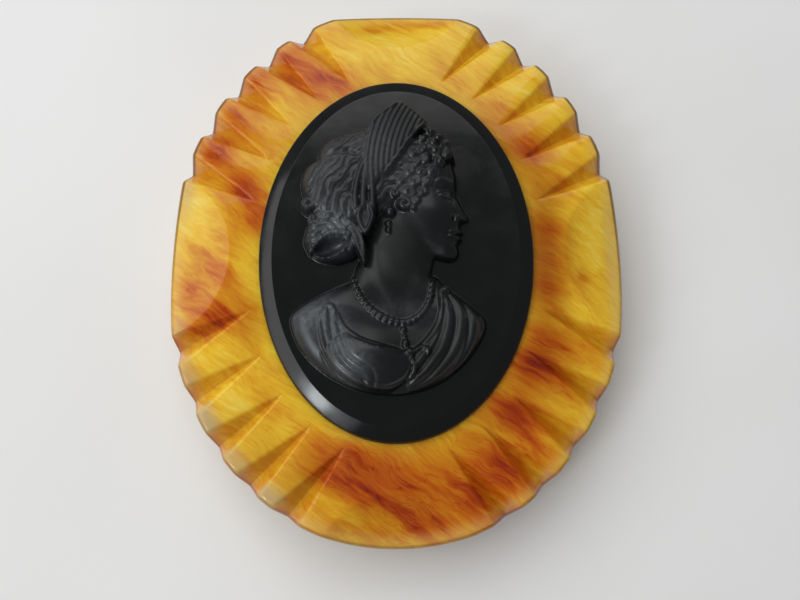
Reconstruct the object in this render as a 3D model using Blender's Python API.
"""Oval brooch: a carved amber plaque with a black cameo on its face and a safety pin on its back.

The brooch lies face up. +Z comes out of its face, +Y is its top and +X its right-hand side.
The origin is under the middle of the plaque, level with the lowest part of the pin mechanism.
Sizes are written in millimetres and are multiplied by MM where they enter the scene.
"""
import math

import bmesh
import bpy
import numpy as np
from mathutils import Matrix, Vector

MM = 0.001

# Plaque
PLAQUE_HALF_WIDTH = 25.5
PLAQUE_HALF_HEIGHT = 31.2
PLAQUE_SQUARENESS = 2.03      # exponent of the outline, 2 is a true ellipse
PLAQUE_BACK_Z = 4.6
PLAQUE_SEAT_THICKNESS = 5.3
PLAQUE_RIM_DROP = 0.5         # how much lower the face is at the rim than at the cameo
SHOULDER_RADIUS = 0.7
BACK_EDGE_BEVEL = 0.4
POCKET_DEPTH = 1.2
FIT_GAP = 0.1

# Carving of the plaque: five V-cuts in each quarter, a thumb scoop on each plain panel
CUTS_PER_QUARTER = 5
CUT_FIRST_RIM_ANGLE = 63.5
CUT_RIM_STEP = 11.0
CUT_FIRST_INNER_ANGLE = 73.4
CUT_INNER_STEP = 14.4
CUT_TIP = 0.08                # where a cut starts, from 0 at the cameo to 1 at the rim
CUT_DEPTH = 2.3
CUT_HALF_WIDTH = 1.7
SCOOP_DEPTH = 1.9
SIDE_SCOOP_RADIUS = 10.2
END_SCOOP_RADIUS = 8.9
SCOOP_CENTRE_OUTSIDE = 3.2    # how far the scoop's centre lies beyond the rim

# Cameo
CAMEO_HALF_WIDTH = 15.0
CAMEO_HALF_HEIGHT = 20.45
CAMEO_WALL_TOP = 5.85         # heights above the plaque's back
CAMEO_FIELD = 6.55
CAMEO_BEVEL = 1.55
BUST_RISE = 0.7               # how far the bust sits above the middle of the cameo

# Pins that hold the cameo
CAMEO_PIN_Y = 14.0
CAMEO_PIN_RADIUS = 0.8
CAMEO_PIN_HEAD_RADIUS = 1.5
CAMEO_PIN_HEAD_HEIGHT = 0.5
CAMEO_PIN_REACH = 1.5         # how far a pin goes into the cameo

# Pin mechanism
BAR_Y = 9.0
BAR_LENGTH = 38.0
BAR_WIDTH = 5.0
BAR_THICKNESS = 0.7
BAR_GAP = 0.05
SCREW_X = 9.0
SCREW_RADIUS = 0.7
SCREW_HEAD_RADIUS = 1.3
SCREW_HEAD_HEIGHT = 0.5
SCREW_REACH = 2.6             # how far a screw goes into the plaque
FOOT_LENGTH = 4.4
FOOT_WIDTH = 4.0
FOOT_THICKNESS = 0.5
STEM_Z = 1.9
HINGE_X = -16.0
CATCH_X = 16.0
EAR_THICKNESS = 0.8
EAR_GAP = 1.5
EAR_WIDTH = 3.4
RIVET_RADIUS = 0.45
RIVET_HOLE_RADIUS = 0.5
RIVET_HEAD_RADIUS = 0.85
RIVET_HEAD_HEIGHT = 0.22
EYE_RADIUS = 1.3
EYE_THICKNESS = 1.3
STEM_RADIUS = 0.45
STEM_TIP_OVERHANG = 2.6       # how far the point passes the middle of the catch
CATCH_RING_RADIUS = 1.9
CATCH_BORE_RADIUS = 1.25
CATCH_RING_THICKNESS = 0.7
CATCH_RING_SPACING = 2.5
CATCH_SLOT = 1.2
ROTOR_HUB_RADIUS = 1.18
ROTOR_BORE_RADIUS = 0.62
ROTOR_LENGTH = 3.6
ROTOR_FLANGE_RADIUS = 1.3
ROTOR_FLANGE_THICKNESS = 1.5
ROTOR_SLOT = 1.1
ROTOR_TAB_REACH = 3.5
ROTOR_TAB_THICKNESS = 0.8
ROTOR_TAB_ANGLE = 170.0       # direction of the tab in the YZ plane, measured from +Y towards +Z

BAR_TOP = PLAQUE_BACK_Z - BAR_GAP
BAR_BOTTOM = BAR_TOP - BAR_THICKNESS
FOOT_TOP = BAR_BOTTOM - BAR_GAP
FOOT_BOTTOM = FOOT_TOP - FOOT_THICKNESS


# ---------------------------------------------------------------- scene helpers

def clear_scene():
    for obj in list(bpy.data.objects):
        bpy.data.objects.remove(obj, do_unlink=True)


def make_material(name, colour, roughness, metallic):
    material = bpy.data.materials.new(name)
    material.use_nodes = True
    shader = material.node_tree.nodes["Principled BSDF"]
    shader.inputs["Base Color"].default_value = (*colour, 1.0)
    shader.inputs["Roughness"].default_value = roughness
    shader.inputs["Metallic"].default_value = metallic
    material.diffuse_color = (*colour, 1.0)
    return material


def add_object(name, bm, material, origin=(0.0, 0.0, 0.0), smooth_angle=30.0):
    """Turn a bmesh in millimetres, drawn round its own origin, into a placed object."""
    bmesh.ops.scale(bm, vec=(MM, MM, MM), verts=bm.verts)
    bmesh.ops.recalc_face_normals(bm, faces=bm.faces)
    mesh = bpy.data.meshes.new(name)
    bm.to_mesh(mesh)
    bm.free()
    obj = bpy.data.objects.new(name, mesh)
    bpy.context.scene.collection.objects.link(obj)
    obj.location = Vector(origin) * MM
    mesh.shade_smooth()
    mesh.set_sharp_from_angle(angle=math.radians(smooth_angle))
    if material is not None:
        mesh.materials.append(material)
    return obj


def add_cutter(name, bm, target, origin=(0.0, 0.0, 0.0), operation="DIFFERENCE"):
    """Add a hidden shape that is cut from, or joined to, the target."""
    cutter = add_object(name, bm, None, origin)
    cutter.hide_render = True
    cutter.display_type = "WIRE"
    boolean = target.modifiers.new(name, "BOOLEAN")
    boolean.operation = operation
    boolean.solver = "EXACT"
    boolean.object = cutter
    return cutter


def cylinder(radius, low, high, axis="Z", sides=32):
    """A closed cylinder from low to high along an axis, centred on that axis."""
    bm = bmesh.new()
    bmesh.ops.create_cone(bm, cap_ends=True, segments=sides, radius1=radius, radius2=radius,
                          depth=high - low)
    bmesh.ops.translate(bm, vec=(0.0, 0.0, (low + high) / 2), verts=bm.verts)
    turn = {"X": Matrix.Rotation(math.radians(90), 3, "Y"),
            "Y": Matrix.Rotation(math.radians(-90), 3, "X"),
            "Z": Matrix.Identity(3)}[axis]
    bmesh.ops.rotate(bm, cent=(0.0, 0.0, 0.0), matrix=turn, verts=bm.verts)
    return bm


def turned(profile, axis="Z", sides=32):
    """A body turned from (height, radius) pairs, which start and end at radius 0."""
    bm = bmesh.new()
    rings = []
    for height, radius in profile:
        if radius == 0.0:
            rings.append([bm.verts.new((0.0, 0.0, height))])
            continue
        angles = [2 * math.pi * i / sides for i in range(sides)]
        rings.append([bm.verts.new((radius * math.cos(a), radius * math.sin(a), height)) for a in angles])
    join_rings(bm, rings)
    if axis == "X":
        turn = Matrix.Rotation(math.radians(90), 3, "Y")
        bmesh.ops.rotate(bm, cent=(0.0, 0.0, 0.0), matrix=turn, verts=bm.verts)
    if axis == "Y":
        turn = Matrix.Rotation(math.radians(-90), 3, "X")
        bmesh.ops.rotate(bm, cent=(0.0, 0.0, 0.0), matrix=turn, verts=bm.verts)
    return bm


def join_rings(bm, rings):
    """Bridge each ring of vertices to the next one. A ring of one vertex is a pole."""
    for low, high in zip(rings, rings[1:]):
        count = max(len(low), len(high))
        for i in range(count):
            j = (i + 1) % count
            if len(low) == 1:
                bm.faces.new((low[0], high[i], high[j]))
            elif len(high) == 1:
                bm.faces.new((low[i], low[j], high[0]))
            else:
                bm.faces.new((low[i], low[j], high[j], high[i]))


def extruded(outline, low, high, axis):
    """A prism of a closed outline. The outline is in XZ for axis Y and in YZ for axis X."""
    bm = bmesh.new()
    place = {"X": lambda a, b, t: (t, a, b), "Y": lambda a, b, t: (a, t, b),
             "Z": lambda a, b, t: (a, b, t)}[axis]
    first = [bm.verts.new(place(a, b, low)) for a, b in outline]
    last = [bm.verts.new(place(a, b, high)) for a, b in outline]
    bm.faces.new(first)
    bm.faces.new(last[::-1])
    for i in range(len(outline)):
        j = (i + 1) % len(outline)
        bm.faces.new((first[j], first[i], last[i], last[j]))
    return bm


def rounded_box(size, centre, radius, axis="Z", corner_steps=4):
    """A plate with rounded corners, seen along its axis."""
    half_a, half_b, half_t = size[0] / 2, size[1] / 2, size[2] / 2
    outline = []
    corners = ((1, 1, 0), (-1, 1, 90), (-1, -1, 180), (1, -1, 270))
    for sign_a, sign_b, start in corners:
        for step in range(corner_steps + 1):
            angle = math.radians(start + 90 * step / corner_steps)
            outline.append((centre[0] + sign_a * (half_a - radius) + radius * math.cos(angle),
                            centre[1] + sign_b * (half_b - radius) + radius * math.sin(angle)))
    return extruded(outline, centre[2] - half_t, centre[2] + half_t, axis)


# ---------------------------------------------------------------- plaque

def outline_point(angle, half_width, half_height, squareness=2.0):
    """Point of an oval at an angle in degrees. A squareness over 2 fills out the diagonals."""
    c, s = math.cos(math.radians(angle)), math.sin(math.radians(angle))
    power = 2.0 / squareness
    return (half_width * math.copysign(abs(c) ** power, c),
            half_height * math.copysign(abs(s) ** power, s))


def cut_angles():
    """(inner angle, rim angle) of the 20 cuts, anticlockwise from +X."""
    first = [(CUT_FIRST_INNER_ANGLE - CUT_INNER_STEP * i, CUT_FIRST_RIM_ANGLE - CUT_RIM_STEP * i)
             for i in reversed(range(CUTS_PER_QUARTER))]
    second = [(180 - inner, 180 - rim) for inner, rim in reversed(first)]
    half = first + second
    return half + [(inner + 180, rim + 180) for inner, rim in half]


def grid_angles():
    """(inner angle, rim angle) of every line of the plaque's grid, with a line along each cut."""
    lobe_steps = (0.0, 0.14, 0.29, 0.5, 0.71, 0.86)
    panel_steps = (0.0, 0.035, 0.075) + tuple(0.075 + 0.085 * i for i in range(1, 11)) + (0.965,)
    cuts = cut_angles()
    lines = []
    for i, (inner, rim) in enumerate(cuts):
        next_inner, next_rim = cuts[(i + 1) % len(cuts)]
        if i + 1 == len(cuts):
            next_inner, next_rim = next_inner + 360, next_rim + 360
        is_panel = i % CUTS_PER_QUARTER == CUTS_PER_QUARTER - 1
        for step in panel_steps if is_panel else lobe_steps:
            lines.append((inner + step * (next_inner - inner), rim + step * (next_rim - rim)))
    return lines


def cut_segments():
    """Start and end of each cut in plan, as two arrays."""
    pocket = pocket_size()
    starts, ends = [], []
    for inner, rim in cut_angles():
        a = np.array(outline_point(inner, *pocket))
        b = np.array(outline_point(rim, PLAQUE_HALF_WIDTH, PLAQUE_HALF_HEIGHT, PLAQUE_SQUARENESS))
        starts.append(a + CUT_TIP * (b - a))
        ends.append(b)
    return np.array(starts), np.array(ends)


def pocket_size():
    return CAMEO_HALF_WIDTH + FIT_GAP, CAMEO_HALF_HEIGHT + FIT_GAP


def scoop_circles():
    """(x, y, radius) of the four thumb scoops."""
    side = PLAQUE_HALF_WIDTH + SCOOP_CENTRE_OUTSIDE
    end = PLAQUE_HALF_HEIGHT + SCOOP_CENTRE_OUTSIDE
    return ((side, 0.0, SIDE_SCOOP_RADIUS), (-side, 0.0, SIDE_SCOOP_RADIUS),
            (0.0, end, END_SCOOP_RADIUS), (0.0, -end, END_SCOOP_RADIUS))


def carved_height(x, y, spread, starts, ends):
    """Height of the plaque's face above its back. Spread is 0 at the cameo and 1 at the rim."""
    height = PLAQUE_SEAT_THICKNESS - PLAQUE_RIM_DROP * spread ** 2
    for scoop_x, scoop_y, radius in scoop_circles():
        reach = math.hypot(x - scoop_x, y - scoop_y) / radius
        if reach < 1.0:
            height -= SCOOP_DEPTH * (1.0 - reach ** 2)
    point = np.array((x, y))
    along = ends - starts
    lengths = np.linalg.norm(along, axis=1)
    unit = along / lengths[:, None]
    offset = point - starts
    travel = np.sum(offset * unit, axis=1) / lengths
    aside = np.abs(offset[:, 0] * unit[:, 1] - offset[:, 1] * unit[:, 0])
    travel = np.clip(travel, 0.0, 1.0)
    half_width = CUT_HALF_WIDTH * travel + 1e-6
    cut = CUT_DEPTH * travel * np.clip(1.0 - aside / half_width, 0.0, 1.0)
    return height - float(cut.max())


def build_plaque(material):
    """Carved oval slab with a shallow pocket in its face for the cameo."""
    starts, ends = cut_segments()
    pocket = pocket_size()
    face_steps = (0.0, 0.09, 0.17, 0.3, 0.45, 0.6, 0.74, 0.86)
    shoulder_turns = (0.0, 30.0, 60.0, 90.0)
    bm = bmesh.new()
    columns = []
    for inner, rim in grid_angles():
        a = Vector(outline_point(inner, *pocket))
        b = Vector(outline_point(rim, PLAQUE_HALF_WIDTH, PLAQUE_HALF_HEIGHT, PLAQUE_SQUARENESS))
        width = (b - a).length
        column = [(a.x, a.y, PLAQUE_SEAT_THICKNESS - POCKET_DEPTH)]
        for step in face_steps:
            p = a.lerp(b, step)
            column.append((p.x, p.y, carved_height(p.x, p.y, step, starts, ends)))
        for turn in shoulder_turns:
            back = SHOULDER_RADIUS * (1.0 - math.sin(math.radians(turn)))
            fall = SHOULDER_RADIUS * (1.0 - math.cos(math.radians(turn)))
            step = 1.0 - back / width
            p = a.lerp(b, step)
            column.append((p.x, p.y, carved_height(p.x, p.y, step, starts, ends) - fall))
        column.append((b.x, b.y, BACK_EDGE_BEVEL))
        p = a.lerp(b, 1.0 - BACK_EDGE_BEVEL / width)
        column.append((p.x, p.y, 0.0))
        columns.append([bm.verts.new(place) for place in column])
    count = len(columns)
    for i in range(count):
        here, after = columns[i], columns[(i + 1) % count]
        for j in range(len(here) - 1):
            bm.faces.new((here[j], here[j + 1], after[j + 1], after[j]))
    bm.faces.new([column[0] for column in columns])
    bm.faces.new([column[-1] for column in columns][::-1])
    bmesh.ops.triangulate(bm, faces=[face for face in bm.faces if len(face.verts) > 4])
    plaque = add_object("amber_plaque", bm, material, (0, 0, PLAQUE_BACK_Z), smooth_angle=24)

    for side, y in (("upper", CAMEO_PIN_Y), ("lower", -CAMEO_PIN_Y)):
        pin_hole = cylinder(CAMEO_PIN_RADIUS + FIT_GAP, -1.0, PLAQUE_SEAT_THICKNESS + 1.0)
        add_cutter(side + "_pin_hole", pin_hole, plaque, (0, y, PLAQUE_BACK_Z))
    for side, x in (("left", -SCREW_X), ("right", SCREW_X)):
        screw_hole = cylinder(SCREW_RADIUS + FIT_GAP, -1.0, SCREW_REACH + 0.4)
        add_cutter(side + "_screw_hole", screw_hole, plaque, (x, BAR_Y, PLAQUE_BACK_Z))
    return plaque


# ---------------------------------------------------------------- cameo

def bust_masses():
    """Rounded masses of the bust: (x, y, half width, half height, tilt in degrees, height)."""
    return (
        (-1.6, 8.0, 7.4, 6.4, 15, 2.6),     # hair over the skull
        (0.6, 11.6, 4.6, 3.9, 0, 3.0),      # diadem
        (-6.2, 2.6, 3.4, 4.0, 0, 2.2),      # knot of hair behind the neck
        (2.6, 4.2, 4.4, 6.6, -8, 2.3),      # face
        (0.0, -3.6, 3.4, 5.0, 8, 1.9),      # neck
        (-3.8, -9.4, 7.0, 5.6, 20, 2.1),    # near shoulder
        (4.2, -9.6, 5.4, 5.2, -20, 1.7),    # far shoulder
        (0.2, -11.4, 6.2, 4.6, 0, 2.6),     # dress
    )


def relief_height(x, y):
    """Height of the bust above the cameo's field."""
    height = 0.0
    for cx, cy, half_width, half_height, tilt, top in bust_masses():
        c, s = math.cos(math.radians(tilt)), math.sin(math.radians(tilt))
        u = ((x - cx) * c + (y - BUST_RISE - cy) * s) / half_width
        v = (-(x - cx) * s + (y - BUST_RISE - cy) * c) / half_height
        inside = 1.0 - u * u - v * v
        if inside > 0.0:
            height = max(height, top * inside ** 0.7)
    return height


def build_cameo(material):
    """Bevelled oval with a bust in relief. It stands in the plaque's pocket."""
    lines = 88
    floor = PLAQUE_SEAT_THICKNESS - POCKET_DEPTH + BAR_GAP
    field = (CAMEO_HALF_WIDTH - CAMEO_BEVEL, CAMEO_HALF_HEIGHT - CAMEO_BEVEL)
    field_steps = tuple(i / 20 for i in range(1, 21))
    bm = bmesh.new()
    rings = [[bm.verts.new((0.0, 0.0, CAMEO_FIELD + relief_height(0.0, 0.0)))]]
    for step in field_steps:
        ring = []
        for i in range(lines):
            x, y = outline_point(360 * i / lines, field[0] * step, field[1] * step)
            ring.append(bm.verts.new((x, y, CAMEO_FIELD + relief_height(x, y))))
        rings.append(ring)
    for z in (CAMEO_WALL_TOP, floor):
        ring = []
        for i in range(lines):
            x, y = outline_point(360 * i / lines, CAMEO_HALF_WIDTH, CAMEO_HALF_HEIGHT)
            ring.append(bm.verts.new((x, y, z)))
        rings.append(ring)
    rings.append([bm.verts.new((0.0, 0.0, floor))])
    join_rings(bm, rings)
    cameo = add_object("black_cameo", bm, material, (0, 0, PLAQUE_BACK_Z), smooth_angle=25)
    for side, y in (("upper", CAMEO_PIN_Y), ("lower", -CAMEO_PIN_Y)):
        blind_hole = cylinder(CAMEO_PIN_RADIUS + FIT_GAP, 0.0, floor + CAMEO_PIN_REACH + 0.3)
        add_cutter(side + "_blind_hole", blind_hole, cameo, (0, y, PLAQUE_BACK_Z))
    return cameo


def build_cameo_pin(name, y, material):
    """Drive pin with a low domed head under the plaque's back."""
    end = PLAQUE_SEAT_THICKNESS - POCKET_DEPTH + BAR_GAP + CAMEO_PIN_REACH
    head = CAMEO_PIN_HEAD_RADIUS
    profile = ((-CAMEO_PIN_HEAD_HEIGHT - BAR_GAP, 0.0), (-CAMEO_PIN_HEAD_HEIGHT - BAR_GAP, head * 0.6),
               (-CAMEO_PIN_HEAD_HEIGHT * 0.6, head * 0.93), (-BAR_GAP, head),
               (-BAR_GAP, CAMEO_PIN_RADIUS), (end - 0.5, CAMEO_PIN_RADIUS),
               (end, CAMEO_PIN_RADIUS * 0.4), (end, 0.0))
    return add_object(name, turned(profile, sides=24), material, (0, y, PLAQUE_BACK_Z))


# ---------------------------------------------------------------- pin mechanism

def build_bar(material):
    """Flat bar with round ends, screwed to the plaque's back."""
    bar = add_object("bar_plate",
                     rounded_box((BAR_LENGTH, BAR_WIDTH, BAR_THICKNESS), (0, 0, 0), BAR_WIDTH / 2 - 0.01,
                                 corner_steps=8),
                     material, (0, BAR_Y, (BAR_TOP + BAR_BOTTOM) / 2))
    for side, x in (("left", -SCREW_X), ("right", SCREW_X)):
        hole = cylinder(SCREW_RADIUS + FIT_GAP, -2.0, 2.0, sides=24)
        add_cutter(side + "_bar_hole", hole, bar, (x, BAR_Y, BAR_BOTTOM))
    return bar


def build_screw(name, x, material):
    """Slotted screw, head down, from under the bar into the plaque."""
    head_top = BAR_BOTTOM - BAR_GAP - PLAQUE_BACK_Z
    head_low = head_top - SCREW_HEAD_HEIGHT
    profile = ((head_low, 0.0), (head_low, SCREW_HEAD_RADIUS * 0.75),
               (head_low + SCREW_HEAD_HEIGHT * 0.4, SCREW_HEAD_RADIUS), (head_top, SCREW_HEAD_RADIUS),
               (head_top, SCREW_RADIUS), (SCREW_REACH - 0.5, SCREW_RADIUS),
               (SCREW_REACH, SCREW_RADIUS * 0.3), (SCREW_REACH, 0.0))
    screw = add_object(name, turned(profile, sides=24), material, (x, BAR_Y, PLAQUE_BACK_Z))
    slot_turn = 35.0 if x > 0 else -20.0
    slot = rounded_box((SCREW_HEAD_RADIUS * 3, 0.36, 0.5), (0, 0, 0), 0.05, corner_steps=1)
    bmesh.ops.rotate(slot, cent=(0, 0, 0), matrix=Matrix.Rotation(math.radians(slot_turn), 3, "Z"),
                     verts=slot.verts)
    add_cutter(name + "_slot", slot, screw, (x, BAR_Y, PLAQUE_BACK_Z + head_low))
    return screw


def ear_outline():
    """Side view of an ear round the rivet: a rounded tab with a flat end, foot side up."""
    low = -STEM_Z
    top = FOOT_TOP - STEM_Z
    half = EAR_WIDTH / 2
    corner = 0.7
    outline = [(half, top), (-half, top)]
    for sign, start in ((-1, 180), (1, 270)):
        for step in range(5):
            angle = math.radians(start + 90 * step / 4)
            outline.append((sign * (half - corner) + corner * math.cos(angle),
                            low + corner + corner * math.sin(angle)))
    return outline


def build_hinge_joint(material):
    """Foot with two ears, which hold the rivet."""
    middle = (HINGE_X, BAR_Y, STEM_Z)
    foot = rounded_box((FOOT_LENGTH, FOOT_WIDTH, FOOT_THICKNESS),
                       (0, 0, (FOOT_TOP + FOOT_BOTTOM) / 2 - STEM_Z), 0.6)
    joint = add_object("hinge_joint", foot, material, middle)
    for side, sign in (("near", -1), ("far", 1)):
        inner, outer = EAR_GAP / 2, EAR_GAP / 2 + EAR_THICKNESS
        low, high = sorted((sign * inner, sign * outer))
        ear = extruded(ear_outline(), low, high, "Y")
        add_cutter(side + "_ear", ear, joint, middle, "UNION")
    hole = cylinder(RIVET_HOLE_RADIUS, -4.0, 4.0, "Y")
    add_cutter("rivet_hole", hole, joint, middle)
    return joint


def build_rivet(material):
    """Rivet along Y through both ears and the eye of the stem."""
    shank = EAR_GAP / 2 + EAR_THICKNESS + BAR_GAP
    end = shank + RIVET_HEAD_HEIGHT
    half = ((end, 0.0), (end, RIVET_HEAD_RADIUS * 0.6),
            (end - RIVET_HEAD_HEIGHT / 2, RIVET_HEAD_RADIUS * 0.93),
            (shank, RIVET_HEAD_RADIUS), (shank, RIVET_RADIUS))
    profile = [(-height, radius) for height, radius in half] + list(reversed(half))
    return add_object("hinge_rivet", turned(profile, "Y"), material, (HINGE_X, BAR_Y, STEM_Z))


def build_stem(material):
    """Pin from its eye on the rivet to its point just past the catch. Its origin is on the rivet."""
    middle = (HINGE_X, BAR_Y, STEM_Z)
    half = EYE_THICKNESS / 2
    stem = add_object("pin_stem", cylinder(EYE_RADIUS, -half, half, "Y"), material, middle)
    reach = CATCH_X - HINGE_X + STEM_TIP_OVERHANG
    start = EYE_RADIUS - 0.35
    profile = ((start, 0.0), (start, STEM_RADIUS * 1.3), (start + 1.4, STEM_RADIUS),
               (reach * 0.72, STEM_RADIUS), (reach - 4.0, STEM_RADIUS * 0.78),
               (reach - 1.6, STEM_RADIUS * 0.5), (reach, 0.06), (reach, 0.0))
    add_cutter("stem_wire", turned(profile, "X", sides=16), stem, middle, "UNION")
    hole = cylinder(RIVET_HOLE_RADIUS, -2.0, 2.0, "Y")
    add_cutter("eye_hole", hole, stem, middle)
    return stem


def slotted_ring_outline(outer, inner, slot, slot_direction, steps=28):
    """C shape in the YZ plane, open towards slot_direction (degrees from +Y towards +Z)."""
    outer_edge = math.degrees(math.asin(slot / 2 / outer))
    inner_edge = math.degrees(math.asin(slot / 2 / inner))
    outline = []
    for radius, start, sweep in ((outer, slot_direction + outer_edge, 360 - 2 * outer_edge),
                                 (inner, slot_direction - inner_edge, -(360 - 2 * inner_edge))):
        for step in range(steps + 1):
            angle = math.radians(start + sweep * step / steps)
            outline.append((radius * math.cos(angle), radius * math.sin(angle)))
    return outline


def build_catch_body(material):
    """Foot with two C rings, which hold the turning sleeve."""
    middle = (CATCH_X, BAR_Y, STEM_Z)
    foot = rounded_box((FOOT_LENGTH, FOOT_WIDTH, FOOT_THICKNESS),
                       (0, 0, (FOOT_TOP + FOOT_BOTTOM) / 2 - STEM_Z), 0.6)
    catch = add_object("catch_body", foot, material, middle)
    outline = slotted_ring_outline(CATCH_RING_RADIUS, CATCH_BORE_RADIUS, CATCH_SLOT, 270)
    for side, sign in (("near", -1), ("far", 1)):
        x = sign * CATCH_RING_SPACING / 2
        ring = extruded(outline, x - CATCH_RING_THICKNESS / 2, x + CATCH_RING_THICKNESS / 2, "X")
        add_cutter(side + "_ring", ring, catch, middle, "UNION")
    return catch


def build_rotor(material):
    """Turning sleeve with a slot for the pin and a thumb tab. Its origin is on its own axis."""
    middle = (CATCH_X, BAR_Y, STEM_Z)
    hub = extruded(slotted_ring_outline(ROTOR_HUB_RADIUS, ROTOR_BORE_RADIUS, ROTOR_SLOT, 270),
                   -ROTOR_LENGTH / 2, ROTOR_LENGTH / 2, "X")
    rotor = add_object("catch_rotor", hub, material, middle)
    flange = extruded(slotted_ring_outline(ROTOR_FLANGE_RADIUS, ROTOR_HUB_RADIUS - 0.2, ROTOR_SLOT, 270),
                      -ROTOR_FLANGE_THICKNESS / 2, ROTOR_FLANGE_THICKNESS / 2, "X")
    add_cutter("rotor_flange", flange, rotor, middle, "UNION")
    tab_length = ROTOR_TAB_REACH - ROTOR_HUB_RADIUS
    tab = rounded_box((tab_length, ROTOR_TAB_THICKNESS, ROTOR_FLANGE_THICKNESS),
                      (ROTOR_HUB_RADIUS + tab_length / 2, 0, 0), 0.35, "X")
    bmesh.ops.rotate(tab, cent=(0, 0, 0), matrix=Matrix.Rotation(math.radians(ROTOR_TAB_ANGLE), 3, "X"),
                     verts=tab.verts)
    add_cutter("rotor_tab", tab, rotor, middle, "UNION")
    return rotor


# ---------------------------------------------------------------- the brooch

def main():
    clear_scene()
    amber = make_material("amber_phenolic", (0.83, 0.44, 0.05), 0.12, 0.0)
    black = make_material("black_phenolic", (0.012, 0.013, 0.015), 0.15, 0.0)
    brass = make_material("pin_brass", (0.72, 0.53, 0.24), 0.3, 1.0)
    nickel = make_material("plated_steel", (0.66, 0.64, 0.60), 0.25, 1.0)
    build_plaque(amber)
    build_cameo(black)
    build_cameo_pin("cameo_pin_upper", CAMEO_PIN_Y, brass)
    build_cameo_pin("cameo_pin_lower", -CAMEO_PIN_Y, brass)
    build_bar(brass)
    build_screw("bar_screw_left", -SCREW_X, brass)
    build_screw("bar_screw_right", SCREW_X, brass)
    build_hinge_joint(brass)
    build_rivet(brass)
    build_stem(nickel)
    build_catch_body(brass)
    build_rotor(brass)


main()
